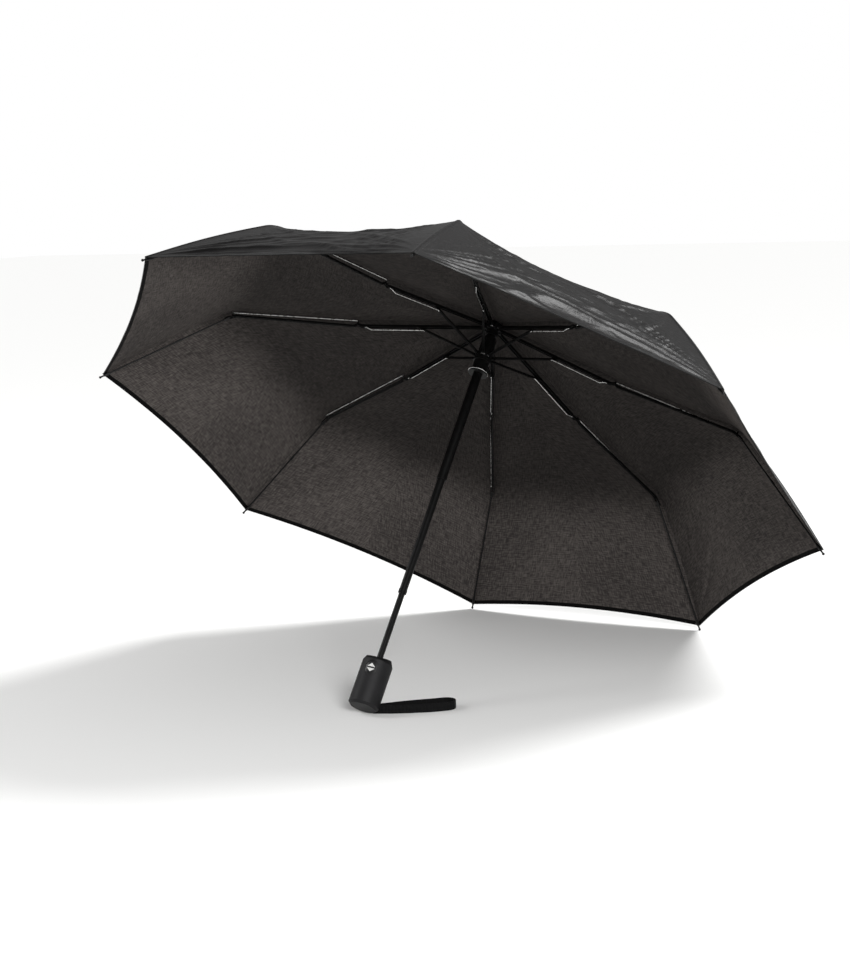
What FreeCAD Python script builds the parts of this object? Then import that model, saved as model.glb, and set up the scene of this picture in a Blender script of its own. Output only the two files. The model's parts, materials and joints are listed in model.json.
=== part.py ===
# Three-fold pocket umbrella, open, lying on its handle and two rib tips.
# Every piece is first drawn upright (shaft along +Z, rib pivots of the crown at z = 0) and then
# laid down: +Z is up from the floor, +Y runs from the handle towards the canopy, +X is sideways.
import FreeCAD
import Part
import math
import os
from FreeCAD import Matrix, Placement, Rotation, Vector

# ribs: lengths between pivots and open angles from the shaft, degrees
rib_count = 8
top_rib_len = 169.8
middle_rib_len = 169.3
outer_rib_len = 194.1
top_rib_angle = 76.2
middle_rib_angle = 80.9
outer_rib_angle = 46.1
stretcher_len = 90.3          # also the distance from the crown pivot to the stretcher rivet
link_arm = 11.0               # rivet to push link eye, along the stretcher
wire_arm = 4.0                # outer knuckle pin to control wire pin

# rib cross-sections, measured across the rib (lanes) and towards the canopy (heights)
link_wire_r = 0.5
wire_r = 0.5
eye_r = 1.15
eye_hole_r = 0.6
inner_wall = 0.45             # sheet of the stretcher and middle rib
top_wall = 0.5                # sheet of the top rib
lane_gap = 0.35               # free space between neighbouring lanes
stretcher_low = -1.75
stretcher_high = 0.75
stretcher_end_r = 1.2
top_low = -1.7
top_high = 1.9
middle_half_h = 1.5
outer_wire_r = 1.1
clip_r = 1.55
collar_r = 1.8
knuckle_rise = 2.5            # outer knuckle pin above the top rib's centre line
elbow_drop = 1.9              # elbow pin below the outer rib's centre line
rivet_r = 0.7
rivet_head_r = 1.2
rivet_head_h = 0.3
pin_play = 0.1
tip_ball_r = 1.7
tip_bare = 5.5                # rib wire that shows beyond the canopy's corner

# crown, runner and pivot rings
hub_pivot_r = 10.0
ring_wire_r = 0.7
crown_r = 12.3
crown_height = 8.0
crown_skirt = 10.0
plate_gap = 2.7               # pivot to the closed side of a rib slot
core_gap = 0.3
cap_r = 10.5
cap_height = 8.0
runner_down = 26.0
runner_up = 29.0
runner_play = 0.15
runner_hub_r = 11.6
runner_sleeve_r = 9.3
flange_r = 12.9
flange_h = 4.0
flange_wire_r = 0.6

# shaft, z positions in the open state
upper_tube_r = 6.2
middle_tube_r = 4.9
lower_tube_r = 3.85
tube_wall = 0.45
tube_play = 0.1
tube_overlap = 25.0
bush_len = 9.0
upper_tube_foot = -228.0
middle_tube_foot = -390.0
foot_gap = 1.0

# handle, button and strap
handle_end = -545.0
handle_top = -478.0
handle_r = 19.0
handle_neck_r = 14.5
handle_chamfer = 3.0
handle_shoulder = 9.0
handle_slant = 14.0           # degrees between the top face and a square cut
tube_seat = 6.0               # plastic left below the tube inside the handle
button_angle = -165.0         # round the shaft, from the floor side
button_width = 14.0
button_height = 18.0
button_below_top = 21.0
button_recess = 0.6
button_depth = 6.0
button_travel = 2.5
button_play = 0.3
strap_width = 10.5
strap_thick = 1.2
strap_lift = 0.2

# canopy
canopy_thick = 0.8
canopy_gap = 0.4
canopy_hole_r = 4.4

# lanes worked out from the sheets and gaps
inner_lane = link_wire_r + 0.1 + lane_gap
inner_outer = inner_lane + inner_wall
top_lane = inner_outer + lane_gap
top_outer = top_lane + top_wall
wire_lane = top_outer + rivet_head_h + lane_gap
fold = top_rib_angle


def polar(length, angle):
    """Point at a distance and an angle in degrees."""
    a = math.radians(angle)
    return (length * math.cos(a), length * math.sin(a))


def add(p, q):
    return (p[0] + q[0], p[1] + q[1])


# ---- where the pivots are, in each rib's own plane: (along, towards the canopy)
knuckle = (top_rib_len, knuckle_rise)
bend = middle_rib_angle - top_rib_angle
elbow = (middle_rib_len, -knuckle_rise - middle_half_h)
middle_turn = 180.0 - bend
outer_turn = 180.0 - (middle_rib_angle - outer_rib_angle)
stretcher_turn = 2.0 * fold
link_eye = (link_arm, 0.0)
link_start = polar(link_arm, -stretcher_turn)

# the push link's far eye meets the middle rib's short arm when open and when folded
link_shift = (link_arm - link_start[0], -link_start[1])
link_reach = math.hypot(*link_shift) / (2.0 * math.sin(math.radians(middle_turn / 2.0)))
link_shift_angle = math.degrees(math.atan2(link_shift[1], link_shift[0]))
arm_angle = link_shift_angle - middle_turn / 2.0 - 90.0
arm_end = polar(link_reach, arm_angle)
arm_end_middle = polar(link_reach, arm_angle - bend)

# the control wire joins the top rib's horn to the outer rib's horn
horn_angle = 100.0
horn = polar(wire_arm, horn_angle)
horn_open = polar(wire_arm, horn_angle - bend)
horn_ratio = math.sin(math.radians(middle_turn / 2.0)) / math.sin(math.radians(outer_turn / 2.0))
outer_horn_angle = horn_angle - bend - middle_turn / 2.0 + outer_turn / 2.0
outer_horn_open = polar(wire_arm * horn_ratio, outer_horn_angle)
outer_horn = polar(wire_arm * horn_ratio, outer_horn_angle + middle_rib_angle - outer_rib_angle)
wire_end = (elbow[0] + outer_horn_open[0] - horn_open[0], elbow[1] + outer_horn_open[1] - horn_open[1])


def in_rib_plane(origin, point, angle):
    """Radius and height of a point given in a rib member's own axes."""
    s, c = math.sin(math.radians(angle)), math.cos(math.radians(angle))
    return (origin[0] + point[0] * s + point[1] * c, origin[1] - point[0] * c + point[1] * s)


crown_pivot = (hub_pivot_r, 0.0)
rivet_at = in_rib_plane(crown_pivot, (stretcher_len, 0.0), top_rib_angle)
runner_pivot = (hub_pivot_r, -2.0 * stretcher_len * math.cos(math.radians(fold)))
knuckle_at = in_rib_plane(crown_pivot, knuckle, top_rib_angle)
horn_at = in_rib_plane(crown_pivot, add(knuckle, horn), top_rib_angle)
elbow_at = in_rib_plane(knuckle_at, elbow, middle_rib_angle)
tip_at = in_rib_plane(elbow_at, (outer_rib_len, elbow_drop), outer_rib_angle)
stretcher_angle = top_rib_angle - stretcher_turn
link_at = in_rib_plane(rivet_at, link_eye, stretcher_angle)

# ---- how the open umbrella lies: the handle's rim and two tips touch the floor
rib_pitch = 360.0 / rib_count
rim_r = handle_r - handle_chamfer
lie_run = tip_at[1] - handle_end
lie_rise = tip_at[0] * math.cos(math.radians(rib_pitch / 2.0)) - rim_r
lie_angle = math.degrees(
    math.atan2(lie_rise, lie_run) + math.asin(tip_ball_r / math.hypot(lie_rise, lie_run))
)


def lay_down():
    """Placement that turns the upright umbrella into its lying place."""
    s, c = math.sin(math.radians(lie_angle)), math.cos(math.radians(lie_angle))
    floor = handle_end * s - rim_r * c
    return Placement(Matrix(0, -1, 0, 0, s, 0, c, 0, -c, 0, s, -floor, 0, 0, 0, 1))


def member_place(origin, angle, rib):
    """Placement of a rib member: its own X runs along it, Y across it, Z to the canopy."""
    s, c = math.sin(math.radians(angle)), math.cos(math.radians(angle))
    own = Placement(Matrix(s, 0, c, origin[0], 0, 1, 0, 0, -c, 0, s, origin[1], 0, 0, 0, 1))
    return Placement(Vector(), Rotation(Vector(0, 0, 1), rib_pitch * (rib - 0.5))).multiply(own)


# ---- small solids in a member's own axes
def cross_pin(point, radius, low, high):
    """Round pin across the rib between two lanes."""
    base = Vector(point[0], low, point[1])
    return Part.makeCylinder(radius, high - low, base, Vector(0, 1, 0))


def plate(p, q, half, low, high):
    """Flat bar with round ends between two points, in one lane."""
    length = math.hypot(q[0] - p[0], q[1] - p[1])
    turn = math.degrees(math.atan2(q[1] - p[1], q[0] - p[0]))
    bar = Part.makeBox(length, high - low, 2 * half, Vector(0, low, -half))
    bar.rotate(Vector(), Vector(0, -1, 0), turn)
    bar.translate(Vector(p[0], 0, p[1]))
    return bar.fuse([cross_pin(p, half, low, high), cross_pin(q, half, low, high)]).removeSplitter()


def cheeks(p, q, half, inner, outer):
    """The same bar on both sides of the rib."""
    return [plate(p, q, half, inner, outer), plate(p, q, half, -outer, -inner)]


def slab(u0, u1, v0, v1, low, high):
    return Part.makeBox(u1 - u0, high - low, v1 - v0, Vector(u0, low, v0))


def rod(p, q, radius, lane=0.0):
    """Round wire between two points."""
    a = Vector(p[0], lane, p[1])
    b = Vector(q[0], lane, q[1])
    return Part.makeCylinder(radius, b.sub(a).Length, a, b.sub(a))


def knot(point, radius, lane=0.0):
    return Part.makeSphere(radius, Vector(point[0], lane, point[1]))


def join(pieces):
    whole = pieces[0].fuse(pieces[1:])
    return whole.removeSplitter()


def rivet(point, reach):
    """Rivet with a head outside each cheek."""
    shank = cross_pin(point, rivet_r, -reach, reach)
    head_a = cross_pin(point, rivet_head_r, reach, reach + rivet_head_h)
    head_b = cross_pin(point, rivet_head_r, -reach - rivet_head_h, -reach)
    return shank.fuse([head_a, head_b]).removeSplitter()


def eye(point, lane):
    """Flattened wire end with a hole."""
    half = link_wire_r + 0.05
    ring = cross_pin(point, eye_r, lane - half, lane + half)
    return ring.cut(cross_pin(point, eye_hole_r, lane - 1, lane + 1))


# ---- rib members
def top_rib():
    """Channel open towards the shaft, with ears for the knuckle and a horn for the wire."""
    web_end = top_rib_len - 8.5
    walls = [
        slab(0, top_rib_len - 4, top_low, top_high, top_lane, top_outer),
        slab(0, top_rib_len - 4, top_low, top_high, -top_outer, -top_lane),
    ]
    web = slab(3.5, web_end, top_high - top_wall, top_high, -top_outer, top_outer)
    root = cheeks((0, 0), (4, 0), -top_low, top_lane, top_outer)
    ears = cheeks((top_rib_len - 6, 0.1), knuckle, 1.5, top_lane, top_outer)
    arm = [plate(knuckle, add(knuckle, horn), 1.3, top_lane, top_outer)]
    body = join(walls + [web] + root + ears + arm)
    holes = [
        cross_pin((0, 0), ring_wire_r + pin_play, -top_outer - 1, top_outer + 1),
        cross_pin((stretcher_len, 0), rivet_r, -top_outer - 1, top_outer + 1),
        cross_pin(knuckle, rivet_r, -top_outer - 1, top_outer + 1),
    ]
    wire_pin = cross_pin(add(knuckle, horn), eye_hole_r - pin_play, top_lane, wire_lane + 2 * wire_r + 0.4)
    body = body.cut(Part.makeCompound(holes)).fuse(wire_pin).removeSplitter()
    return [body, rivet((stretcher_len, 0), top_outer), rivet(knuckle, top_outer)]


def stretcher():
    """Channel from the rivet down to the runner, carrying the push link's pin."""
    end = (stretcher_len, 0)
    walls = [
        slab(2.5, stretcher_len - 3, stretcher_low, stretcher_high, inner_lane, inner_outer),
        slab(2.5, stretcher_len - 3, stretcher_low, stretcher_high, -inner_outer, -inner_lane),
    ]
    web = slab(4, stretcher_len - 4, stretcher_low, stretcher_low + inner_wall, -inner_outer, inner_outer)
    ends = cheeks((0, 0), (4, -0.4), stretcher_end_r, inner_lane, inner_outer)
    foot = cheeks((stretcher_len - 4, 0), end, 1.7, inner_lane, inner_outer)
    body = join(walls + [web] + ends + foot)
    holes = [
        cross_pin((0, 0), rivet_r + pin_play, -3, 3),
        cross_pin(end, ring_wire_r + pin_play, -3, 3),
    ]
    pin = cross_pin(link_eye, eye_hole_r - pin_play, -inner_outer, inner_outer)
    return [body.cut(Part.makeCompound(holes)).fuse(pin).removeSplitter()]


def push_link():
    """Wire from the stretcher to the middle rib's short arm, cranked near its end."""
    far = (knuckle[0] + arm_end[0] - stretcher_len - link_start[0], knuckle[1] + arm_end[1] - link_start[1])
    crank = (far[0] - 8.0, 0.0)
    away = math.degrees(math.atan2(far[1], 8.0))
    start = (eye_r - 0.2, 0.0)
    stop = add(far, polar(-(eye_r - 0.2), away))
    wire = [rod(start, crank, link_wire_r), knot(crank, link_wire_r), rod(crank, stop, link_wire_r)]
    return [join([eye((0, 0), 0), eye(far, 0)] + wire)]


def middle_rib():
    """Channel that folds outside the top rib, with a short arm inboard of its pivot."""
    low = -knuckle_rise - middle_half_h
    high = -knuckle_rise + middle_half_h
    last = middle_rib_len - 2.0
    walls = [
        slab(3, last, low, high, inner_lane, inner_outer),
        slab(3, last, low, high, -inner_outer, -inner_lane),
    ]
    web = slab(5, last - 3, high - inner_wall, high, -inner_outer, inner_outer)
    arm = cheeks(arm_end_middle, (0, 0), 1.3, inner_lane, inner_outer)
    neck = cheeks((0, 0), (5, -knuckle_rise), 1.45, inner_lane, inner_outer)
    foot = cheeks((last - 1.0, elbow[1] + 0.9), elbow, 1.45, inner_lane, inner_outer)
    body = join(walls + [web] + arm + neck + foot)
    holes = [
        cross_pin((0, 0), rivet_r + pin_play, -3, 3),
        cross_pin(elbow, rivet_r + pin_play, -3, 3),
    ]
    clip_at = middle_rib_len * 0.52
    outside = slab(clip_at, clip_at + 7, low, high + 0.3, -inner_outer - 0.3, inner_outer + 0.3)
    inside = slab(clip_at - 1, clip_at + 8, low, high, -inner_outer, inner_outer)
    return [body.cut(Part.makeCompound(holes)), outside.cut(inside)]


def control_wire():
    """Wire from the top rib's horn to the outer rib's horn."""
    lane = wire_lane + wire_r
    turn = math.degrees(math.atan2(wire_end[1], wire_end[0]))
    start = polar(eye_r - 0.2, turn)
    stop = add(wire_end, polar(-(eye_r - 0.2), turn))
    return [join([eye((0, 0), lane), rod(start, stop, wire_r, lane), eye(wire_end, lane)])]


def outer_rib():
    """Round wire with a forked root, a horn and a ball tip."""
    line = elbow_drop
    fork = cheeks((0, 0), (7, line - 0.1), 1.1, top_lane, top_outer)
    yoke = slab(5, 12, line - 1.2, line + 1.2, -top_outer, top_outer)
    arm = [plate((0, 0), outer_horn, 1.1, top_lane, top_outer)]
    stem = rod((8, line), (outer_rib_len, line), outer_wire_r)
    ball = knot((outer_rib_len, line), tip_ball_r)
    body = join(fork + [yoke, stem, ball] + arm)
    hole = cross_pin((0, 0), rivet_r, -top_outer - 1, top_outer + 1)
    clip_at = outer_rib_len * 0.4
    clip = Part.makeCylinder(clip_r, 7, Vector(clip_at, 0, line), Vector(1, 0, 0))
    clip = clip.cut(rod((clip_at - 1, line), (clip_at + 8, line), outer_wire_r))
    collar_at = outer_rib_len - tip_bare - 9
    collar = Part.makeCylinder(collar_r, 9, Vector(collar_at, 0, line), Vector(1, 0, 0))
    collar = collar.cut(rod((collar_at - 1, line), (collar_at + 10, line), outer_wire_r))
    return [body.cut(hole), rivet((0, 0), top_outer), clip, collar]


# ---- round pieces on the shaft, upright
def ring(outer, inner, low, high):
    solid = Part.makeCylinder(outer, high - low, Vector(0, 0, low))
    if inner <= 0:
        return solid
    return solid.cut(Part.makeCylinder(inner, high - low + 2, Vector(0, 0, low - 1)))


def rib_slots(inner, outer, low, high):
    """One radial slot for each rib, wide enough for the top rib."""
    half = top_outer + lane_gap
    slots = []
    for rib in range(1, rib_count + 1):
        box = Part.makeBox(outer - inner, 2 * half, high - low, Vector(inner, -half, low))
        box.rotate(Vector(), Vector(0, 0, 1), rib_pitch * (rib - 0.5))
        slots.append(box)
    return Part.makeCompound(slots)


def pivot_ring(height):
    """Wire bent into a polygon, so that each rib turns on a straight length."""
    half = hub_pivot_r * math.tan(math.radians(rib_pitch / 2.0))
    pieces = []
    for rib in range(1, rib_count + 1):
        side = Part.makeCylinder(ring_wire_r, 2 * half, Vector(hub_pivot_r, -half, height), Vector(0, 1, 0))
        corner = Part.makeSphere(ring_wire_r, Vector(hub_pivot_r, half, height))
        for piece in (side, corner):
            piece.rotate(Vector(), Vector(0, 0, 1), rib_pitch * (rib - 0.5))
            pieces.append(piece)
    return join(pieces)


core_r = hub_pivot_r + top_low - core_gap


def crown():
    """Slotted head that holds the top ribs' pivot ring."""
    core = ring(core_r, 0, -crown_skirt, crown_height)
    head = Part.makeCylinder(crown_r, crown_height + 3.2, Vector(0, 0, -3.2))
    body = core.fuse(head).removeSplitter()
    body = body.cut(rib_slots(core_r, crown_r + 2, -crown_skirt - 1, plate_gap))
    body = body.cut(ring(upper_tube_r, 0, -crown_skirt - 1, -1.0))
    body = body.cut(pivot_ring(0.0))
    edge = Part.makeCone(crown_r + 3, crown_r - 3, 6, Vector(0, 0, crown_height - 4.5))
    return [body.common(edge.fuse(ring(crown_r + 3, 0, -crown_skirt, crown_height - 4.5)))]


def top_cap():
    """Domed nut that clamps the canopy onto the crown."""
    seat = crown_height + canopy_thick
    dome = Part.makeSphere(cap_r * 1.2, Vector(0, 0, seat + cap_height - cap_r * 1.2))
    disc = ring(cap_r, 0, seat, seat + cap_height).common(dome)
    neck = ring(canopy_hole_r - 0.3, 0, crown_height, seat)
    return [disc.fuse(neck).removeSplitter()]


def runner():
    """Sliding hub: slotted at the stretcher pivots, fluted sleeve above, flange below."""
    mid = runner_pivot[1]
    bore = upper_tube_r + runner_play
    sleeve = ring(runner_sleeve_r, 0, mid, mid + runner_up)
    hub = ring(runner_hub_r, 0, mid - 8, mid + 3.2)
    waist = ring(hub_pivot_r, 0, mid - runner_down, mid)
    flange = ring(flange_r, 0, mid - runner_down, mid - runner_down + flange_h)
    core = ring(core_r, 0, mid - runner_down, mid + runner_up)
    body = join([core, sleeve, hub, waist, flange])
    body = body.cut(rib_slots(core_r, flange_r + 2, mid - plate_gap, mid + runner_up + 1))
    body = body.cut(ring(bore, 0, mid - runner_down - 1, mid + runner_up + 1))
    body = body.cut(pivot_ring(mid))
    return [body.cut(flange_wire())]


def flange_wire():
    height = runner_pivot[1] - runner_down + flange_h / 2.0
    return Part.makeTorus(flange_r, flange_wire_r, Vector(0, 0, height))


def tube(outer, foot, head):
    """Plain tube with a small turned collar at its foot."""
    collar = ring(outer + 0.35, outer - tube_wall, foot, foot + 5)
    return ring(outer, outer - tube_wall, foot, head).fuse(collar).removeSplitter()


middle_tube_head = upper_tube_foot + tube_overlap
lower_tube_head = middle_tube_foot + tube_overlap
lower_tube_foot = handle_end + tube_seat


def upper_tube():
    """Widest tube, with the bush that guides the middle tube."""
    guide = ring(upper_tube_r - tube_wall, middle_tube_r + tube_play, upper_tube_foot + 5.5,
                 upper_tube_foot + 5.5 + bush_len)
    return [tube(upper_tube_r, upper_tube_foot, -1.0), guide]


def middle_tube():
    """Middle tube, with a guide bush inside its foot and one round its head."""
    foot = ring(middle_tube_r - tube_wall, lower_tube_r + tube_play, middle_tube_foot + 5.5,
                middle_tube_foot + 5.5 + bush_len)
    head = ring(upper_tube_r - tube_wall - tube_play, middle_tube_r, middle_tube_head - bush_len,
                middle_tube_head)
    return [tube(middle_tube_r, middle_tube_foot, middle_tube_head), foot, head]


def lower_tube():
    """Narrowest tube, fixed in the handle, with a guide bush round its head."""
    head = ring(middle_tube_r - tube_wall - tube_play, lower_tube_r, lower_tube_head - bush_len,
                lower_tube_head)
    return [ring(lower_tube_r, lower_tube_r - tube_wall, lower_tube_foot, lower_tube_head), head]


# ---- handle
button_middle = handle_top - button_below_top


def button_block(half_w, half_h, low, high):
    """Upright oval block pointing out of the handle between two radii."""
    flat = half_h - half_w
    parts = [Part.makeBox(high - low, 2 * half_w, 2 * flat, Vector(low, -half_w, button_middle - flat))]
    for end in (-flat, flat):
        base = Vector(low, 0, button_middle + end)
        parts.append(Part.makeCylinder(half_w, high - low, base, Vector(1, 0, 0)))
    block = join(parts)
    block.rotate(Vector(), Vector(0, 0, 1), button_angle)
    return block


def handle_shell():
    """Moulded grip with a slanted top, a chamfered end, a tube socket and a button pocket."""
    shoulder = handle_top - handle_shoulder
    outline = [
        Vector(0, 0, handle_end), Vector(rim_r, 0, handle_end),
        Vector(handle_r, 0, handle_end + handle_chamfer), Vector(handle_r, 0, shoulder),
        Vector(handle_neck_r, 0, handle_top), Vector(0, 0, handle_top), Vector(0, 0, handle_end),
    ]
    body = Part.Face(Part.makePolygon(outline)).revolve(Vector(), Vector(0, 0, 1), 360)
    lid = Part.makeBox(80, 80, 30, Vector(-40, -40, 0))
    lid.rotate(Vector(), Vector(0, 1, 0), handle_slant)
    lid.rotate(Vector(), Vector(0, 0, 1), button_angle)
    lid.translate(Vector(0, 0, handle_top - lower_tube_r * math.tan(math.radians(handle_slant)) - 0.5))
    body = body.cut(lid)
    body = body.cut(ring(lower_tube_r, 0, lower_tube_foot, handle_top + 5))
    floor_r = handle_r - button_recess - button_depth - button_travel - button_play
    pocket = button_block(button_width / 2 + button_play, button_height / 2 + button_play,
                          floor_r, handle_r + 5)
    return [body.cut(pocket)]


def button():
    """Oval push button, slightly domed and recessed."""
    face = handle_r - button_recess
    block = button_block(button_width / 2, button_height / 2, face - button_depth, face)
    dome = Part.makeCylinder(face, button_height * 2, Vector(0, 0, button_middle - button_height))
    return [block.common(dome)]


# ---- strap: a flat loop standing on its edge on the floor, from the handle's rim and back.
# The points are floor positions (x, y) from the handle's lowest point.
strap_points = [
    (6.5, -0.5), (20.9, 5.4), (37.3, 13.9), (53.6, 24.1), (69.7, 35.9), (79.9, 45.4), (87.5, 55.5),
    (83.0, 68.0), (70.0, 69.3), (56.7, 55.8), (42.3, 43.5), (29.7, 31.1), (18.9, 19.0), (9.5, 8.7),
    (4.8, 3.0),
]


def strap_route():
    """Straight runs joined by tangent arcs; prints each bend's radius."""
    height = strap_width / 2 + strap_lift
    heel = lay_down().multVec(Vector(rim_r, 0, handle_end))
    pts = [Vector(heel.x + x, heel.y + y, height) for x, y in strap_points]
    edges, at, radii = [], pts[0], []
    for before, corner, after in zip(pts, pts[1:], pts[2:]):
        inward, outward = before.sub(corner), after.sub(corner)
        half = inward.getAngle(outward) / 2.0
        cut = 0.45 * min(inward.Length, outward.Length)
        radii.append(round(cut * math.tan(half), 1))
        inward.normalize()
        outward.normalize()
        first, last = corner + inward * cut, corner + outward * cut
        middle = inward + outward
        middle.normalize()
        centre = corner + middle * (cut / math.cos(half))
        toward = corner.sub(centre)
        toward.normalize()
        edges.append(Part.makeLine(at, first))
        edges.append(Part.Arc(first, centre + toward * (cut * math.tan(half)), last).toShape())
        at = last
    edges.append(Part.makeLine(at, pts[-1]))
    print("strap bend radii", radii, "length", round(sum(e.Length for e in edges), 1))
    return Part.Wire(edges)


def wrist_strap():
    route = strap_route()
    start = route.Edges[0].firstVertex().Point
    way = route.Edges[0].tangentAt(route.Edges[0].FirstParameter)
    side = Vector(-way.y, way.x, 0) * (strap_thick / 2)
    up = Vector(0, 0, strap_width / 2)
    corners = [start + side + up, start - side + up, start - side - up, start + side - up]
    profile = Part.makePolygon(corners + [corners[0]])
    return [route.makePipeShell([profile], True, False)]


# ---- canopy: eight flat-sided bands over the three rib members, one thin skin
def side_drop(side, angle):
    """How much lower a flat-sided band is beside the rib than over it."""
    return side * math.tan(math.radians(rib_pitch / 2.0)) * math.cos(math.radians(angle))


def canopy_profile(lift):
    """Radius and height over a rib, from the crown's neck to the hem, raised by lift."""
    wire_side = wire_lane + 2 * wire_r
    over_knuckle = knuckle_rise + horn[1] + eye_r + side_drop(wire_side, top_rib_angle) + canopy_gap + lift
    over_elbow = outer_horn_open[1] + eye_r + side_drop(wire_side, outer_rib_angle) + canopy_gap + lift
    over_tip = elbow_drop + collar_r + side_drop(collar_r, outer_rib_angle) + canopy_gap + lift
    hem = outer_rib_len - tip_bare - 2
    return [
        (crown_r + 0.5, crown_height + lift),
        in_rib_plane(crown_pivot, (top_rib_len, over_knuckle), top_rib_angle),
        in_rib_plane(elbow_at, (eye_r + 1, over_elbow), middle_rib_angle),
        in_rib_plane(elbow_at, (hem, over_tip), outer_rib_angle),
    ]


def octagon(radius, height):
    points = [Vector(*polar(radius, rib_pitch * (k - 0.5)), height) for k in range(1, rib_count + 2)]
    return Part.makePolygon(points)


def tent(lift, floor):
    """Solid under the canopy's surface down to the hem."""
    rows = canopy_profile(lift)
    if floor:
        last, before = rows[-1], rows[-2]
        more = 1.02
        rows[-1] = (before[0] + (last[0] - before[0]) * more, before[1] + (last[1] - before[1]) * more)
    return Part.makeLoft([octagon(*row) for row in rows], True, True)


def canopy():
    skin = tent(canopy_thick, False).cut(tent(0.0, True))
    skin = skin.cut(ring(canopy_hole_r, 0, crown_height - 2, crown_height + 5))
    return [max(skin.Solids, key=lambda s: s.Volume)]


# ---- the whole umbrella
def rib_pieces():
    return {
        "top_rib": (top_rib(), crown_pivot, top_rib_angle),
        "stretcher": (stretcher(), rivet_at, stretcher_angle),
        "push_link": (push_link(), link_at, top_rib_angle),
        "middle_rib": (middle_rib(), knuckle_at, middle_rib_angle),
        "control_wire": (control_wire(), horn_at, middle_rib_angle),
        "outer_rib": (outer_rib(), elbow_at, outer_rib_angle),
    }


def upright_pieces():
    return {
        "crown": crown(),
        "crown_ring": [pivot_ring(0.0)],
        "top_cap": top_cap(),
        "canopy": canopy(),
        "runner": runner(),
        "runner_ring": [pivot_ring(runner_pivot[1]), flange_wire()],
        "upper_tube": upper_tube(),
        "middle_tube": middle_tube(),
        "lower_tube": lower_tube(),
        "handle_shell": handle_shell(),
        "button": button(),
    }


def placed(solids, place):
    shape = Part.makeCompound([s.copy() for s in solids])
    shape.Placement = place.multiply(shape.Placement)
    return shape


def lying_pieces():
    """Every node's shape in the lying frame, before the origin is centred."""
    lie = lay_down()
    nodes = {name: placed(solids, lie) for name, solids in upright_pieces().items()}
    for name, (solids, origin, angle) in rib_pieces().items():
        for rib in range(1, rib_count + 1):
            nodes[f"{name}_{rib}"] = placed(solids, lie.multiply(member_place(origin, angle, rib)))
    nodes["wrist_strap"] = Part.makeCompound(wrist_strap())
    return nodes


def centre_shift(nodes):
    """Moves the middle of the umbrella's box, without the strap, over the origin."""
    box = FreeCAD.BoundBox()
    for name, shape in nodes.items():
        if name != "wrist_strap":
            box.add(shape.optimalBoundingBox(False, False))
    print("box", [round(v, 3) for v in (box.XMin, box.XMax, box.YMin, box.YMax, box.ZMin, box.ZMax)])
    return Vector(-box.Center.x, -box.Center.y, -box.ZMin)


def main():
    os.makedirs("parts", exist_ok=True)
    nodes = lying_pieces()
    shift = centre_shift(nodes)
    for name, shape in nodes.items():
        shape.translate(shift)
        shape.exportStep(f"parts/{name}.step")
    print(len(nodes), "nodes written, shaft at", round(lie_angle, 2), "degrees, shift", tuple(shift))


if __name__ == "__main__":
    main()
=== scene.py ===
import json
import math
import bpy
import numpy as np
from mathutils import Matrix, Vector


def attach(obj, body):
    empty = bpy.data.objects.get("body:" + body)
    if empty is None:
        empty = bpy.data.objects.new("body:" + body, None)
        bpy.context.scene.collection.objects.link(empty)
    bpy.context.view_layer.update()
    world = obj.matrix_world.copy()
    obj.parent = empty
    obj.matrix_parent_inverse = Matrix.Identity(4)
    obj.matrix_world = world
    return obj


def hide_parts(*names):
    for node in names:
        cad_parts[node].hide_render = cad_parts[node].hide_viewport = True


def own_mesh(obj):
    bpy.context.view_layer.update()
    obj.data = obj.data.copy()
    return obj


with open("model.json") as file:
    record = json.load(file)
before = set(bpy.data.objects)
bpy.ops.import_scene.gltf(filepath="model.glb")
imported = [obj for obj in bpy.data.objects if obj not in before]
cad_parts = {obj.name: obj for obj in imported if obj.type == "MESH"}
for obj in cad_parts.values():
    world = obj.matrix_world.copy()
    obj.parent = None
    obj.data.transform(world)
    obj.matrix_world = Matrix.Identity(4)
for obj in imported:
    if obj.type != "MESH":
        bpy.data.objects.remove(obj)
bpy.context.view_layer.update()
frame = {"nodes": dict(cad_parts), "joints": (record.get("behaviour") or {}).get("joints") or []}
print("frame loaded")

# the umbrella's own lines, read from its joints
joints = {j["name"]: j for j in frame["joints"]}
ribCount = 8


# where a joint's pivot is, for one rib
def jointPoint(name, rib):
    return np.array(joints[f"{name}_{rib}"]["pos_m"], float)


def unit(v):
    return v / np.maximum(np.linalg.norm(v, axis=-1, keepdims=True), 1e-12)


def nodePoints(name):
    mesh = frame["nodes"][name].data
    flat = np.empty(len(mesh.vertices) * 3, np.float32)
    mesh.vertices.foreach_get("co", flat)
    return flat.reshape(-1, 3).astype(float)


shaftUp = -np.array(joints["upper_tube_slide"]["axis"], float)    # from the handle to the crown
crownMiddle = np.mean([jointPoint("rib_fold", rib) for rib in range(1, ribCount + 1)], axis=0)
crownTop = float(((nodePoints("crown") - crownMiddle) @ shaftUp).max())


# Camera, floor and light. Lengths are in metres; lamps are in watts, the overhead light in W/m2.
viewSettings = {
    "camera": (1.3151, -2.0973, 0.6320),
    "aim": (-0.0356, 0.0, 0.2429),
    "rollDegrees": -2.29,
    "lens": 83.1,
    "sensorMm": 36,
    "floorColour": "#fbfbfa",
    "floorRoughness": 0.9,
    "floorHalf": 14.0,
    "roomLight": 0.33,
    "sunLight": 2.95,
    "sunFrom": (0.5, 0.75, 1.0),
    "sunSpreadDegrees": 28,
}
bpy.context.scene.view_settings.view_transform = "Standard"    # plain studio white stays white


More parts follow.
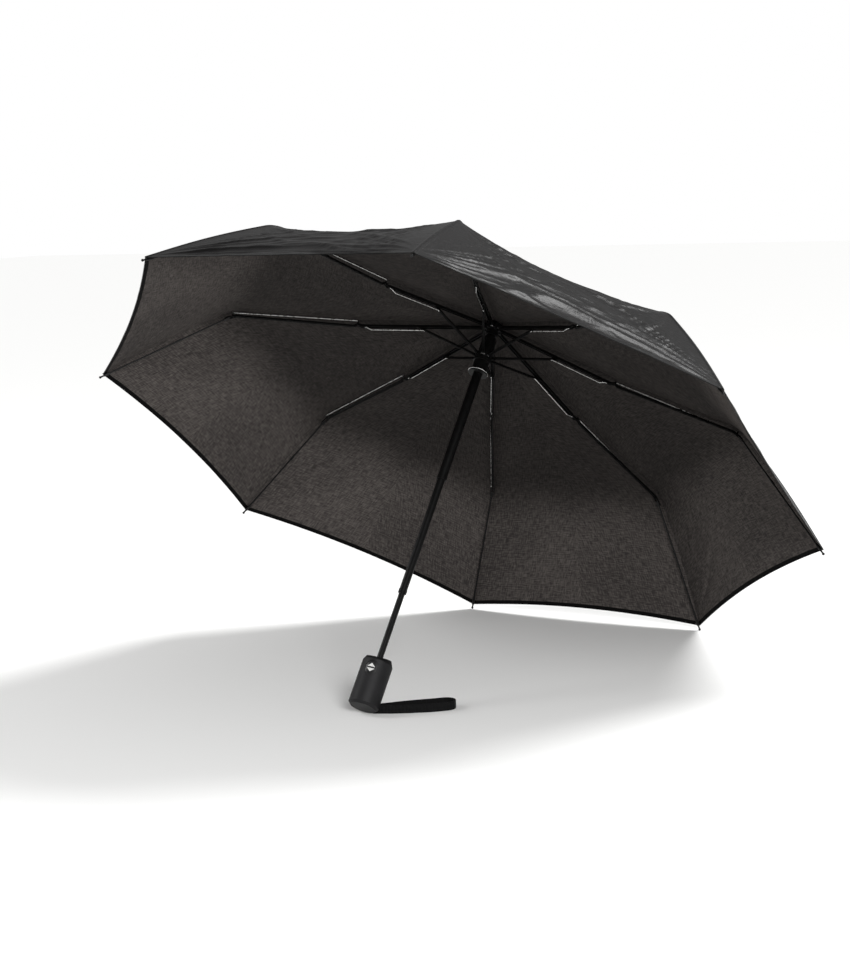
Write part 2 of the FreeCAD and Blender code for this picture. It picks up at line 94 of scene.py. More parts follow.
# sRGB hex to linear rgba
def linear(hexColour):
    channels = [int(hexColour[k:k + 2], 16) / 255 for k in (1, 3, 5)]
    return [c / 12.92 if c <= 0.04045 else ((c + 0.055) / 1.055) ** 2.4 for c in channels] + [1.0]


def makeCamera():
    place, aim = Vector(viewSettings["camera"]), Vector(viewSettings["aim"])
    forward = (aim - place).normalized()
    right = forward.cross(Vector((0, 0, 1))).normalized()
    up = right.cross(forward)
    roll = math.radians(viewSettings["rollDegrees"])
    tiltedRight = right * math.cos(roll) + up * math.sin(roll)
    tiltedUp = up * math.cos(roll) - right * math.sin(roll)
    data = bpy.data.cameras.new("camera")
    data.lens = viewSettings["lens"]
    data.sensor_fit = "HORIZONTAL"
    data.sensor_width = viewSettings["sensorMm"]
    data.clip_end = 60
    camera = bpy.data.objects.new("camera", data)
    camera.location = place
    camera.rotation_euler = Matrix((tiltedRight, tiltedUp, -forward)).transposed().to_euler()
    bpy.context.scene.collection.objects.link(camera)
    bpy.context.scene.camera = camera


# one shader node: values set plain attributes or named inputs, links feed inputs
def addNode(tree, kind, links=(), **values):
    node = tree.nodes.new(kind)
    for key, value in values.items():
        name = key.replace("_", " ")
        if hasattr(node, key):
            setattr(node, key, value)
        else:
            node.inputs[name].default_value = value
    for inputName, output in links:
        tree.links.new(output, node.inputs[inputName])
    return node


def newMaterial(name):
    material = bpy.data.materials.new(name)
    material.use_nodes = True
    tree = material.node_tree
    tree.nodes.clear()
    return material, tree


def surface(tree, shader):
    output = tree.nodes.new("ShaderNodeOutputMaterial")
    tree.links.new(shader.outputs[0], output.inputs["Surface"])


def makeStage():
    material, tree = newMaterial("matte paper floor")
    shader = addNode(tree, "ShaderNodeBsdfPrincipled", Roughness=viewSettings["floorRoughness"])
    shader.inputs["Base Color"].default_value = linear(viewSettings["floorColour"])
    surface(tree, shader)
    mesh = bpy.data.meshes.new("floor")
    half = viewSettings["floorHalf"]
    corners = [(-half, -half, 0), (half, -half, 0), (half, half, 0), (-half, half, 0)]
    mesh.from_pydata(corners, [], [(0, 1, 2, 3)])
    floor = bpy.data.objects.new("floor", mesh)
    floor.data.materials.append(material)
    bpy.context.scene.collection.objects.link(floor)
    # the room's light is dim; the backdrop beyond the floor is plain white
    world = bpy.data.worlds.new("studio")
    world.use_nodes = True
    tree = world.node_tree
    tree.nodes.clear()
    white = (1.0, 1.0, 1.0, 1.0)
    backdrop = addNode(tree, "ShaderNodeBackground", Strength=1.0)
    backdrop.inputs["Color"].default_value = white
    room = addNode(tree, "ShaderNodeBackground", Strength=viewSettings["roomLight"])
    room.inputs["Color"].default_value = white
    seen = addNode(tree, "ShaderNodeLightPath")
    mix = addNode(tree, "ShaderNodeMixShader",
                  [("Fac", seen.outputs["Is Camera Ray"]), (1, room.outputs[0]), (2, backdrop.outputs[0])])
    output = tree.nodes.new("ShaderNodeOutputWorld")
    tree.links.new(mix.outputs[0], output.inputs["Surface"])
    bpy.context.scene.world = world


# place, aim, size across, power: a key in front on the right and a fill on the left
softBoxes = [
    ((1.95, -2.0, 1.25), (-0.05, 0.0, 0.34), 0.9, 70.0),
    ((-2.0, -1.2, 1.6), (0.0, 0.0, 0.4), 0.7, 20.0),
]


def makeLights():
    for number, (place, aim, size, power) in enumerate(softBoxes):
        data = bpy.data.lights.new(f"softBox{number}", "AREA")
        data.shape = "SQUARE"
        data.size = size
        data.energy = power
        lamp = bpy.data.objects.new(f"softBox{number}", data)
        lamp.location = place
        lamp.rotation_euler = (Vector(aim) - Vector(place)).to_track_quat("-Z", "Y").to_euler()
        bpy.context.scene.collection.objects.link(lamp)
    # one very large soft light from above and behind lights the floor evenly
    data = bpy.data.lights.new("overhead", "SUN")
    data.energy = viewSettings["sunLight"]
    data.angle = math.radians(viewSettings["sunSpreadDegrees"])
    lamp = bpy.data.objects.new("overhead", data)
    lamp.rotation_euler = Vector(viewSettings["sunFrom"]).to_track_quat("Z", "Y").to_euler()
    bpy.context.scene.collection.objects.link(lamp)


makeCamera()
makeStage()
makeLights()
print("camera, floor and light made")


# Materials. Noise scales are in cycles per metre.
def mappedNoise(tree, coordinates, scale, detail=3.0, stretch=(1, 1, 1)):
    mapping = addNode(tree, "ShaderNodeMapping", [("Vector", coordinates)])
    mapping.inputs["Scale"].default_value = stretch
    return addNode(tree, "ShaderNodeTexNoise", [("Vector", mapping.outputs[0])], Scale=scale, Detail=detail)


def rampBetween(tree, factor, low, high, lowAt=0.3, highAt=0.7):
    ramp = addNode(tree, "ShaderNodeValToRGB", [("Fac", factor)])
    ramp.color_ramp.elements[0].position = lowAt
    ramp.color_ramp.elements[1].position = highAt
    ramp.color_ramp.elements[0].color = linear(low)
    ramp.color_ramp.elements[1].color = linear(high)
    return ramp


def greyBetween(tree, factor, low, high):
    return addNode(tree, "ShaderNodeMapRange", [("Value", factor)], To_Min=low, To_Max=high)


# The face and the reverse are one black cloth, painted in two tones that stand in for light and shade: the
# face darker, the reverse lighter.
clothLook = {
    "face": {"tones": ("#060505", "#0e0c0c"), "roughness": 0.32, "specular": 0.15, "paintedShade": 1.0},
    # painted shade on the reverse: its tone falls to 0.42 of itself towards the crown
    "reverse": {"tones": ("#2f2c2b", "#585350"), "roughness": 0.75, "specular": 0.06, "paintedShade": 0.42},
    "paintedShadeAt": (0.12, 0.21),    # heights above the hem between which the tone falls to its painted shade, darker towards the crown
    "hem": "#050505",
    "hemMm": 6.0,
    "threadMm": 1.7,            # real thread is 0.15 mm; drawn coarser so that it shows
    "slub": 0.16,               # width of a slub, for one unit of length
    "clouds": 7.0,
    "creases": 38.0,
}


# One principled surface; a roughness is a number or a node's output.
def principled(material, tree, colour, roughness, bump=None, **constants):
    links = [("Base Color", colour)]
    if bump is not None:
        links.append(("Normal", bump))
    shader = addNode(tree, "ShaderNodeBsdfPrincipled", links, **constants)
    if isinstance(roughness, float):
        shader.inputs["Roughness"].default_value = roughness
    else:
        tree.links.new(roughness, shader.inputs["Roughness"])
    surface(tree, shader)
    return material


# One arithmetic node; an operand is a number or a node's output.
def arithmetic(tree, operation, *operands):
    node = addNode(tree, "ShaderNodeMath", operation=operation)
    for k, operand in enumerate(operands):
        if isinstance(operand, float):
            node.inputs[k].default_value = operand
        else:
            tree.links.new(operand, node.inputs[k])
    return node.outputs[0]


def bumpFrom(tree, height, strength, distance):
    bump = addNode(tree, "ShaderNodeBump", [("Height", height)], Strength=strength, Distance=distance)
    return bump.outputs[0]


def coordinates(tree, kind):
    return addNode(tree, "ShaderNodeTexCoord").outputs[kind]


# Black polyester pongee, a close plain weave: slubs lie along the warp and the weft, and fine creases cross
# it. Its face is calendered to a satin; its reverse is duller. Both sides are one black cloth, but the
# reverse's tones are painted lighter and warmer than the face's, standing in for light and shade. Painted
# shade darkens the tone towards the crown. The hem tape is deeper black.
# Reads the piece's UV, in metres: across from the rib, then up from the hem.
def pongee(name, side):
    look = clothLook[side]
    material, tree = newMaterial(name)
    uv = coordinates(tree, "UV")
    threads = 1000 / clothLook["threadMm"]
    up = addNode(tree, "ShaderNodeSeparateXYZ", [("Vector", uv)]).outputs["Y"]
    warp = mappedNoise(tree, uv, threads, 2.0, (1.0, clothLook["slub"], 1.0)).outputs["Fac"]
    weft = mappedNoise(tree, uv, threads, 2.0, (clothLook["slub"], 1.0, 1.0)).outputs["Fac"]
    clouds = mappedNoise(tree, uv, clothLook["clouds"], 3.0).outputs["Fac"]
    crinkle = mappedNoise(tree, uv, clothLook["creases"], 4.0, (1.0, 2.6, 1.0)).outputs["Fac"]
    weave = arithmetic(tree, "ADD", warp, weft)
    speckled = arithmetic(tree, "MULTIPLY_ADD", weave, 1.6, clouds)
    level = addNode(tree, "ShaderNodeMapRange", [("Value", speckled)], From_Min=1.4, From_Max=2.8)
    colour = rampBetween(tree, level.outputs[0], *look["tones"], 0.25, 1.0)
    # Painted shade: between the two heights the tone falls to the side's shade factor, darker towards the
    # crown. On the face the factor is one, so nothing changes.
    low, high = clothLook["paintedShadeAt"]
    paintedShadeFactor = addNode(tree, "ShaderNodeMapRange", [("Value", up)], interpolation_type="SMOOTHSTEP",
                    From_Min=low, From_Max=high, To_Min=1.0, To_Max=look["paintedShade"])
    paintedShadeTone = addNode(tree, "ShaderNodeVectorMath", [(0, colour.outputs[0])], operation="SCALE")
    tree.links.new(paintedShadeFactor.outputs[0], paintedShadeTone.inputs["Scale"])
    atHem = arithmetic(tree, "LESS_THAN", up, clothLook["hemMm"] / 1000)
    hemmed = addNode(tree, "ShaderNodeMix", [("Factor", atHem)], data_type="RGBA")
    tree.links.new(paintedShadeTone.outputs[0], hemmed.inputs[6])
    hemmed.inputs[7].default_value = linear(clothLook["hem"])
    height = arithmetic(tree, "MULTIPLY_ADD", crinkle, 2.5, weave)
    shine = greyBetween(tree, clouds, look["roughness"] - 0.04, look["roughness"] + 0.06).outputs[0]
    return principled(material, tree, hemmed.outputs[2], shine, bumpFrom(tree, height, 0.4, 0.0006),
                      Specular_IOR_Level=look["specular"])


# tones, gloss (one value or a range), specular and sheen of each finish
finishLook = {
    "steel": {"tones": ("#030303", "#080808"), "gloss": (0.3, 0.45), "specular": 0.2},
    "wire": {"tones": ("#a9a9a8", "#e4e4e2"), "gloss": (0.18, 0.38)},
    "nylon": {"tones": ("#040404", "#0a0a0a"), "gloss": 0.45, "specular": 0.25},
    "grip": {"tones": ("#0b0b0c", "#131214"), "gloss": (0.5, 0.64), "specular": 0.3},
    "button": {"tones": ("#0c0c0d", "#141415"), "gloss": 0.3},
    "ink": {"tones": ("#bdbdbb", "#d2d2d0"), "gloss": 0.5},
    "webbing": {"tones": ("#040404", "#0a0a0b"), "gloss": 0.75, "specular": 0.12, "sheen": 0.03},
}


# Black baked lacquer on rolled sheet steel: semi-gloss, with rubbed spots and a fine grain.
def lacqueredSteel():
    look = finishLook["steel"]
    material, tree = newMaterial("black lacquered steel")
    where = coordinates(tree, "Object")
    spots = mappedNoise(tree, where, 160.0, 3.0).outputs["Fac"]
    fine = mappedNoise(tree, where, 900.0, 2.0).outputs["Fac"]
    colour = rampBetween(tree, spots, *look["tones"]).outputs[0]
    shine = greyBetween(tree, fine, *look["gloss"]).outputs[0]
    return principled(material, tree, colour, shine, bumpFrom(tree, fine, 0.15, 0.0002),
                      Specular_IOR_Level=look["specular"])


# Bright zinc-plated spring wire: its gloss is uneven, with dull grey patches.
def springWire():
    look = finishLook["wire"]
    material, tree = newMaterial("zinc plated spring wire")
    patches = mappedNoise(tree, coordinates(tree, "Object"), 220.0, 3.0).outputs["Fac"]
    colour = rampBetween(tree, patches, *look["tones"]).outputs[0]
    shine = greyBetween(tree, patches, *look["gloss"]).outputs[0]
    return principled(material, tree, colour, shine, Metallic=1.0)


# Black glass-filled nylon, injection moulded: satin with a faint orange-peel grain.
def mouldedNylon():
    look = finishLook["nylon"]
    material, tree = newMaterial("black moulded nylon")
    where = coordinates(tree, "Object")
    grain = mappedNoise(tree, where, 1400.0, 2.0).outputs["Fac"]
    blotch = mappedNoise(tree, where, 130.0, 2.0).outputs["Fac"]
    colour = rampBetween(tree, blotch, *look["tones"]).outputs[0]
    return principled(material, tree, colour, look["gloss"], bumpFrom(tree, grain, 0.25, 0.0002),
                      Specular_IOR_Level=look["specular"])


# Soft-touch rubber lacquer over ABS: matte charcoal black with a fine sprayed grain.
def softTouchGrip():
    look = finishLook["grip"]
    material, tree = newMaterial("soft touch rubber lacquer")
    where = coordinates(tree, "Object")
    grain = mappedNoise(tree, where, 1100.0, 3.0).outputs["Fac"]
    wear = mappedNoise(tree, where, 45.0, 3.0).outputs["Fac"]
    colour = rampBetween(tree, wear, *look["tones"]).outputs[0]
    shine = greyBetween(tree, wear, *look["gloss"]).outputs[0]
    return principled(material, tree, colour, shine, bumpFrom(tree, grain, 0.3, 0.0003),
                      Specular_IOR_Level=look["specular"])


# A plain finish whose tone is slightly blotchy.
def blotchy(kind, name, scale):
    look = finishLook[kind]
    material, tree = newMaterial(name)
    blotch = mappedNoise(tree, coordinates(tree, "Object"), scale, 2.0).outputs["Fac"]
    return principled(material, tree, rampBetween(tree, blotch, *look["tones"]).outputs[0], look["gloss"])


# Black polyester webbing: flat diagonal weave with tight selvedges. Reads UV in metres.
def wovenWebbing():
    look = finishLook["webbing"]
    material, tree = newMaterial("black polyester webbing")
    uv = coordinates(tree, "UV")
    ribWave = addNode(tree, "ShaderNodeTexWave", [("Vector", uv)], bands_direction="X", Scale=75.0,
                      Distortion=0.8)
    slant = addNode(tree, "ShaderNodeTexWave", [("Vector", uv)], bands_direction="DIAGONAL", Scale=55.0,
                    Distortion=0.6)
    fuzz = mappedNoise(tree, uv, 900.0, 3.0).outputs["Fac"]
    height = arithmetic(tree, "ADD", ribWave.outputs["Fac"], slant.outputs["Fac"])
    colour = rampBetween(tree, fuzz, *look["tones"]).outputs[0]
    return principled(material, tree, colour, look["gloss"], bumpFrom(tree, height, 0.6, 0.0004),
                      Specular_IOR_Level=look["specular"], Sheen_Weight=look["sheen"])


clothFace = pongee("black polyester pongee, calendered face", "face")
clothReverse = pongee("black polyester pongee, reverse", "reverse")
steel = lacqueredSteel()
wire = springWire()
nylon = mouldedNylon()
grip = softTouchGrip()
gloss = blotchy("button", "black gloss ABS", 300.0)        # black ABS, moulded with a light gloss
ink = blotchy("ink", "white pad print ink", 700.0)         # thin matte ink, slightly uneven
webbing = wovenWebbing()


# Gives every carried-over CAD node its finish.
def dressFrame():
    finishes = {"crown": nylon, "top_cap": nylon, "runner": nylon, "crown_ring": wire, "runner_ring": wire,
                "handle_shell": grip, "button": gloss}
    for name, node in frame["nodes"].items():
        kind = name.rstrip("12345678").rstrip("_")
        finish = finishes.get(name, wire if kind in ("push_link", "control_wire") else steel)
        for material in node.material_slots:
            material.material = finish


dressFrame()
print("materials made")


# Canopy, in metres.
canopySpec = {
    "skin": 0.0004,
    "columns": 72,          # across one gore
    "rows": (40, 60, 90),   # top, middle and outer bands
    "overKnuckle": 0.0075,  # cloth above the knuckle pin
    "overElbow": 0.0097,
    "elbowAhead": 0.0021,
    "overTip": 0.0031,
    "bareTip": 0.0062,      # rib wire beyond the cloth's corner
    "neck": (0.0048, 0.0130),
    "neckLift": 0.0004,
    "hemCurve": 0.011,      # how far the hem bows in between two tips
    "hemFold": 0.0006,      # turned and stitched hem, on the inside
    "sag": (0.003, 0.006, 0.002),
    "outerBow": 0.0032,     # the outer ribs bend a little under the cloth's pull
    "roundAtRib": 0.016,
    "roundBetween": 0.062,
    "seam": 0.0009,
    "folds": 0.0068,
    "closed": 0.05,
    "crowd": 0.13,          # how far the columns crowd towards the ribs
    "roundNeck": 0.004,
    "roundKnee": (0.010, 0.030),
    "hemTape": (0.009, 0.0015),
    "seamWidth": 0.0022,
    "calmAtRib": 0.045,     # no folds nearer to a rib than a fraction of this
    "calmAtNeck": 0.06,
    "seamStart": 0.03,
    "foldShare": (1.0, 0.7, 0.35),    # strength of the folds at the hem, the elbows and the knuckles
    "seed": 41,
}
foldShape = {
    "least": 0.010,         # spread of the folds at a rib
    "widen": 0.9,
    "counts": (1.1, 1.9, 3.1),
    "wander": (0.05, 0.22),
    "slow": (5, 11, 19),
    "round": 0.012,         # rounds the crests
    "fade": 1.3,
    "flatLine": 0.007,
}
goreSlack = [0.30, 0.28, 0.35, 1.0, 1.0, 0.5, 0.35, 0.3]    # how loosely each gore hangs


# step spread evenly over twice h, summed up: nothing, a parabola, then a straight line
def ramp(x, h):
    return np.where(x <= -h, 0.0, np.where(x >= h, x, (x + h) ** 2 / (4 * h)))


# corner points of the cloth over one rib, from the neck to the hem
def ribLine(rib):
    spec = canopySpec
    pivot, rivet = jointPoint("rib_fold", rib), jointPoint("stretcher_turn", rib)
    knuckle, elbow = jointPoint("knuckle", rib), jointPoint("elbow", rib)
    across = np.array(joints[f"rib_fold_{rib}"]["axis"], float)
    outward = unit(pivot - crownMiddle)
    wires = nodePoints(f"outer_rib_{rib}")
    tip = wires[np.argmax(np.linalg.norm(wires - elbow, axis=1))]
    topAlong, middleAlong, outerAlong = unit(rivet - pivot), unit(elbow - knuckle), unit(tip - elbow)
    neckHeight = crownMiddle + shaftUp * (crownTop + spec["neckLift"])
    return np.array([
        neckHeight + outward * spec["neck"][0],
        neckHeight + outward * spec["neck"][1],
        knuckle + np.cross(topAlong, across) * spec["overKnuckle"],
        elbow + np.cross(middleAlong, across) * spec["overElbow"] + middleAlong * spec["elbowAhead"],
        tip - outerAlong * spec["bareTip"] + np.cross(outerAlong, across) * spec["overTip"],
    ])


# Straight runs between the corners, each corner rounded to a parabola: the start, plus the first direction
# times x, plus each change of direction times a ramp.
def ribCurve(corners, x, rounding):
    steps = np.diff(corners, axis=0)
    lengths = np.linalg.norm(steps, axis=1)
    ways = steps / lengths[:, None]
    at = np.cumsum(lengths)
    point = corners[0] + ways[0] * x[..., None]
    for k in range(1, len(ways)):
        point = point + (ways[k] - ways[k - 1]) * ramp(x - at[k - 1], rounding[k - 1])[..., None]
    return point


# Slack folds that run from one rib to the next beside a line, and gather at its two ends. Each is a narrow
# ridge, one minus the size of a sine, squared; its phase is the distance from the line over a spread that
# shrinks to nothing at the ribs, and it wanders by slow sines.
def fanFolds(left, right, away, rng):
    shape = foldShape
    spread = shape["least"] + shape["widen"] * left * right / (left + right + 1e-9)
    phase = away / spread
    total = 0.0
    for count in shape["counts"]:
        wander = sum(rng.uniform(*shape["wander"]) * np.sin((left - right) * k + rng.uniform(0, 6.3))
                     for k in shape["slow"])
        wave = np.sin(np.pi * (count * phase + wander + rng.uniform(0, 1)))
        ridge = (1 - np.sqrt(wave ** 2 + shape["round"])) ** 2
        gate = 0.5 + 0.5 * np.sin((left - right) * rng.uniform(4, 10) + count * phase * 2
                                  + rng.uniform(0, 6.3))
        total = total + (ridge - 0.3) * (0.35 + 0.65 * gate) / count ** 0.6
    return total * np.exp(-np.abs(phase) / shape["fade"]) * (1 - np.exp(-np.abs(away) / shape["flatLine"]))


# The whole cloth: rows from neck to hem, columns round the shaft. Each gore is ruled between two rib
# curves, then pushed along its normal by the sag, the bow of the ribs, the folds and the seams; its hem is
# bowed in.
def canopyGrid():
    spec = canopySpec
    corners = [ribLine(rib) for rib in range(1, ribCount + 1)]
    at = np.cumsum(np.linalg.norm(np.diff(corners[0], axis=0), axis=1))
    neckAt, kneeAt, elbowAt, hemAt = at
    rows = spec["rows"]
    inner = np.concatenate([np.linspace(0, kneeAt, rows[0] + 1)[:-1],
                            np.linspace(kneeAt, elbowAt, rows[1] + 1)[:-1]])
    share = np.linspace(0, 1, rows[2] + 1)[:, None]
    step = np.arange(spec["columns"]) / spec["columns"]
    w = step - spec["crowd"] * np.sin(2 * np.pi * step)
    bow = 4 * w * (1 - w)
    hem = hemAt - spec["hemCurve"] * bow
    x = np.concatenate([np.tile(inner[:, None], (1, len(w))), elbowAt + share * (hem - elbowAt)])
    atRib, between = spec["roundKnee"]
    kneeRound = atRib + (between - atRib) * bow
    elbowRound = spec["roundAtRib"] + (spec["roundBetween"] - spec["roundAtRib"]) * bow
    rounding = [spec["roundNeck"], kneeRound, elbowRound]
    sag = np.interp(x, [0.0, neckAt, kneeAt, elbowAt, hemAt], [0, 0, *spec["sag"]])
    outerBow = spec["outerBow"] * np.sin(np.pi * np.clip((x - elbowAt) / (hemAt - elbowAt), 0, 1))
    points, fromLeft, fromRight = [], [], []
    for gore in range(ribCount):
        rng = np.random.default_rng(spec["seed"] + gore)
        a = ribCurve(corners[gore], x, rounding)
        b = ribCurve(corners[(gore + 1) % ribCount], x, rounding)
        ruled = a * (1 - w)[None, :, None] + b * w[None, :, None]
        width = np.linalg.norm(b - a, axis=2)
        left, right = width * w, width * (1 - w)
        normal = unit(np.cross(b - a, np.gradient(ruled, axis=0)))
        normal = normal * np.sign(normal @ shaftUp)[..., None]
        folds = sum(share * fanFolds(left, right, line - x, rng)
                    for share, line in zip(spec["foldShare"], (hem, elbowAt, kneeAt)))
        ease = np.clip(np.minimum(left, right) / spec["calmAtRib"], 0, 1) ** 1.3
        ease = ease * np.clip((x - neckAt) / spec["calmAtNeck"], 0, 1)
        seams = np.exp(-(left / spec["seamWidth"]) ** 2) + np.exp(-(right / spec["seamWidth"]) ** 2)
        seams = seams * np.clip((x - neckAt) / spec["seamStart"], 0, 1)
        push = -sag * bow + outerBow + spec["folds"] * goreSlack[gore] * folds * ease + spec["seam"] * seams
        points.append(ruled + normal * push[..., None])
        fromLeft.append(left)
        fromRight.append(right)
    toHem = np.tile(hem - x, (1, ribCount))
    return [np.concatenate(points, axis=1), toHem, np.concatenate(fromLeft, axis=1),
            np.concatenate(fromRight, axis=1)]


# cross product of the steps round and down the grid, which closes on itself round the shaft
def gridNormals(points):
    wrapped = np.concatenate([points[:, -1:], points, points[:, :1]], axis=1)
    normal = unit(np.cross(wrapped[:, 2:] - wrapped[:, :-2], np.gradient(points, axis=0)))
    return normal * np.sign(np.sum(normal @ shaftUp))


# Closes two matching grids into one thin shell: outer faces, reversed inner faces and a rim. The smooth
# faces take their normals from the whole cloth, so neighbouring pieces meet without a line.
def shellMesh(name, outer, inner, normals, uv, materials):
    rows, columns = outer.shape[:2]
    count = rows * columns
    index = np.arange(count).reshape(rows, columns)
    quads = np.stack([index[:-1, :-1], index[:-1, 1:], index[1:, 1:], index[1:, :-1]], axis=-1)
    quads = quads.reshape(-1, 4)
    midRow, midColumn = rows // 2, columns // 2
    cell = outer[midRow:midRow + 2, midColumn:midColumn + 2]
    facing = np.cross(cell[0, 1] - cell[0, 0], cell[1, 0] - cell[0, 0]) @ normals[midRow, midColumn]
    edge = np.concatenate([index[0, :], index[1:, -1], index[-1, -2::-1], index[-2:0:-1, 0]])
    rim = np.stack([edge, np.roll(edge, -1), np.roll(edge, -1) + count, edge + count], axis=-1)
    if facing < 0:
        quads = quads[:, ::-1]
    else:
        rim = rim[:, ::-1]
    faces = np.concatenate([quads, quads[:, ::-1] + count, rim])
    points = np.concatenate([outer.reshape(-1, 3), inner.reshape(-1, 3)])
    mesh = bpy.data.meshes.new(name)
    mesh.from_pydata(points.tolist(), [], faces.tolist())
    for material in materials:
        mesh.materials.append(material)
    side = np.zeros(len(faces), np.int32)
    side[len(quads):2 * len(quads)] = len(materials) - 1
    mesh.polygons.foreach_set("material_index", side)
    mesh.polygons.foreach_set("use_smooth", np.ones(len(faces), bool))
    loops = np.empty(len(mesh.loops), np.int32)
    mesh.loops.foreach_get("vertex_index", loops)
    loopNormals = np.concatenate([normals.reshape(-1, 3), -normals.reshape(-1, 3)])[loops]
    corner = points[rim]
    rimNormal = unit(np.cross(corner[:, 2] - corner[:, 0], corner[:, 3] - corner[:, 1]))
    loopNormals[len(quads) * 8:] = np.repeat(rimNormal, 4, axis=0)
    mesh.uv_layers.new(name="metres")
    flatUv = np.concatenate([uv.reshape(-1, 2), uv.reshape(-1, 2)])[loops]
    mesh.uv_layers["metres"].data.foreach_set("uv", flatUv.astype(np.float32).ravel())
    mesh.update()
    mesh.normals_split_custom_set(loopNormals.tolist())
    piece = bpy.data.objects.new(name, mesh)
    bpy.context.scene.collection.objects.link(piece)
    return piece


# Eight rib-centred strips of cloth, each in three lengths that follow the rib's three members, so that the
# canopy folds where the ribs do.
def makeCanopy():
    spec = canopySpec
    points, toHem, fromLeft, fromRight = canopyGrid()
    normals = gridNormals(points)
    tape, slope = spec["hemTape"]
    hemFold = np.clip((tape - toHem) / slope, 0, 1) * spec["hemFold"]
    inner = points - normals * (spec["skin"] + hemFold)[..., None]
    topRows, middleRows, outerRows = spec["rows"]
    bands = {"top": (0, topRows), "middle": (topRows, topRows + middleRows),
             "outer": (topRows + middleRows, topRows + middleRows + outerRows)}
    half = spec["columns"] // 2
    for rib in range(1, ribCount + 1):
        pick = np.arange(-half, half + 1) + (rib - 1) * spec["columns"]
        pick = pick % points.shape[1]
        fromRib = np.concatenate([-fromRight[:, pick[:half]], fromLeft[:, pick[half:]]], axis=1)
        for band, (low, high) in bands.items():
            rider = f"{band}_rib_{rib}"
            rows = np.arange(low, high + 1)
            cut = np.ix_(rows, pick)
            uv = np.stack([fromRib[rows], toHem[cut]], axis=-1)
            piece = shellMesh(f"canopy_{band}_{rib}", points[cut], inner[cut], normals[cut], uv,
                              [clothFace, clothReverse])
            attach(piece, rider)
            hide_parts("canopy")
            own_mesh(piece)


makeCanopy()
print("canopy made")


# Wrist strap: the listed points of the part's source, in metres from the handle's heel.
strapSpec = {"width": 0.0105, "thick": 0.0014, "lift": 0.0002, "around": 24, "flatSide": 0.35, "edge": 0.6}
strapRoute = [
    (0.0065, -0.0005), (0.0209, 0.0054), (0.0373, 0.0139), (0.0536, 0.0241), (0.0697, 0.0359),
    (0.0799, 0.0454), (0.0875, 0.0555), (0.0830, 0.0680), (0.0700, 0.0693), (0.0567, 0.0558),
    (0.0423, 0.0435), (0.0297, 0.0311), (0.0189, 0.0190), (0.0095, 0.0087), (0.0048, 0.0030),
]


def routeLine(points):
    curve = bpy.data.curves.new("route", "CURVE")
    curve.dimensions = "3D"
    curve.resolution_u = 16
    spline = curve.splines.new("NURBS")
    spline.points.add(len(points) - 1)
    for point, place in zip(spline.points, points):
        point.co = (*place, 1.0)
    spline.order_u = 3
    spline.use_endpoint_u = True
    holder = bpy.data.objects.new("route", curve)
    bpy.context.scene.collection.objects.link(holder)
    bpy.context.view_layer.update()
    mesh = bpy.data.meshes.new_from_object(holder)
    flat = np.empty(len(mesh.vertices) * 3, np.float32)
    mesh.vertices.foreach_get("co", flat)
    bpy.data.objects.remove(holder)
    return flat.reshape(-1, 3).astype(float)


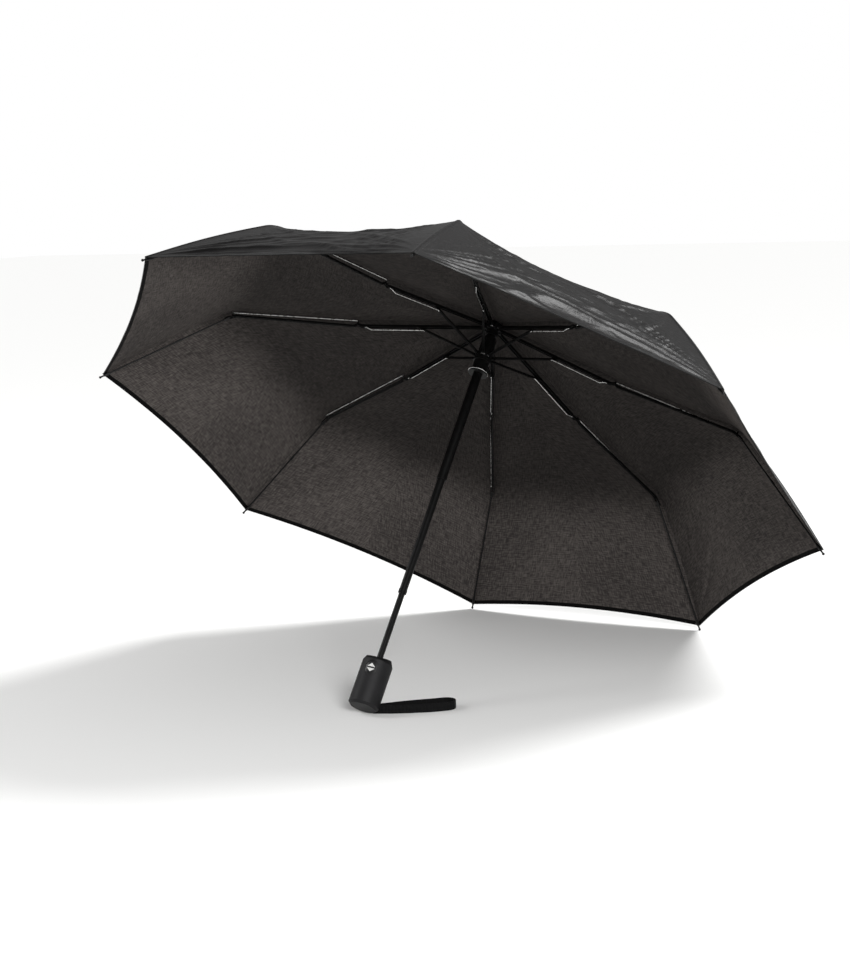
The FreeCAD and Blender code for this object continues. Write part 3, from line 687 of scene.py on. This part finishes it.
# Webbing on its edge: a rounded flat section carried along the route, always upright.
def makeStrap():
    spec = strapSpec
    shell = nodePoints("handle_shell")
    heel = shell[np.argmin(shell[:, 2])] * np.array([0, 1, 0])
    height = spec["width"] / 2 + spec["lift"]
    line = routeLine([(heel[0] + x, heel[1] + y, height) for x, y in strapRoute])
    way = unit(np.gradient(line, axis=0))
    side = np.stack([-way[:, 1], way[:, 0], np.zeros(len(way))], axis=1)
    turn = np.linspace(0, 2 * np.pi, spec["around"], endpoint=False)
    flat = np.sign(np.cos(turn)) * np.abs(np.cos(turn)) ** spec["flatSide"] * spec["thick"] / 2
    tall = np.sign(np.sin(turn)) * np.abs(np.sin(turn)) ** spec["edge"] * spec["width"] / 2
    outline = np.stack([flat, tall], axis=1)
    points = (line[:, None] + side[:, None] * outline[None, :, :1]
              + np.array([0, 0, 1.0]) * outline[None, :, 1:])
    rows, columns = points.shape[:2]
    index = np.arange(rows * columns).reshape(rows, columns)
    nxt = np.roll(index, -1, axis=1)
    quads = np.stack([index[:-1], nxt[:-1], nxt[1:], index[1:]], axis=-1).reshape(-1, 4)
    faces = [*quads[:, ::-1].tolist(), index[0].tolist(), index[-1][::-1].tolist()]
    mesh = bpy.data.meshes.new("wristStrap")
    mesh.from_pydata(points.reshape(-1, 3).tolist(), [], faces)
    loops = np.empty(len(mesh.loops), np.int32)
    mesh.loops.foreach_get("vertex_index", loops)
    along = np.concatenate([[0], np.cumsum(np.linalg.norm(np.diff(line, axis=0), axis=1))])
    uv = np.stack([np.repeat(along, columns), np.tile(outline[:, 1], rows)], axis=1)
    mesh.uv_layers.new(name="metres").data.foreach_set("uv", uv[loops].astype(np.float32).ravel())
    mesh.polygons.foreach_set("use_smooth", np.ones(len(faces), bool))
    mesh.update()
    strap = bpy.data.objects.new("wristStrap", mesh)
    strap.data.materials.append(webbing)
    bpy.context.scene.collection.objects.link(strap)
    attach(strap, "handle")
    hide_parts("wrist_strap")
    print("strap length", round(float(along[-1]), 4))


makeStrap()


# The two printed triangles on the button, in metres.
printSpec = {"half": 0.0049, "tall": 0.004508, "gap": 0.0021, "thick": 0.0003}


# Two ink triangles back to back, bent over the button's round face.
def makePrint():
    spec = printSpec
    button = nodePoints("button")
    press = np.array(joints["button_press"]["axis"], float)
    middle = button.mean(axis=0)
    out = -press
    face = float(((button - middle) @ out).max())
    across = np.cross(shaftUp, out)
    axisPoint = crownMiddle + shaftUp * ((middle - crownMiddle) @ shaftUp)
    radius = float(((middle - axisPoint) @ out) + face)
    for number, way in enumerate((1, -1)):
        u, v = np.meshgrid(np.linspace(-1, 1, 13), np.linspace(0, 1, 9))
        sideways = u * (1 - v) * spec["half"]
        up = way * (spec["gap"] / 2 + v * spec["tall"])
        depth = np.sqrt(radius ** 2 - sideways ** 2)
        base = axisPoint + across * sideways[..., None] + shaftUp * up[..., None]
        outer = base + out * (depth + 2 * spec["thick"])[..., None]
        inner = base + out * (depth - spec["thick"])[..., None]
        outer[-1] = outer[-1].mean(axis=0)
        inner[-1] = inner[-1].mean(axis=0)
        normals = np.broadcast_to(out, outer.shape)
        uv = np.stack([sideways, up], axis=-1)
        piece = shellMesh(f"buttonPrint{number}", outer, inner, normals, uv, [ink])
        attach(piece, "button")


makePrint()
print("strap and print made")
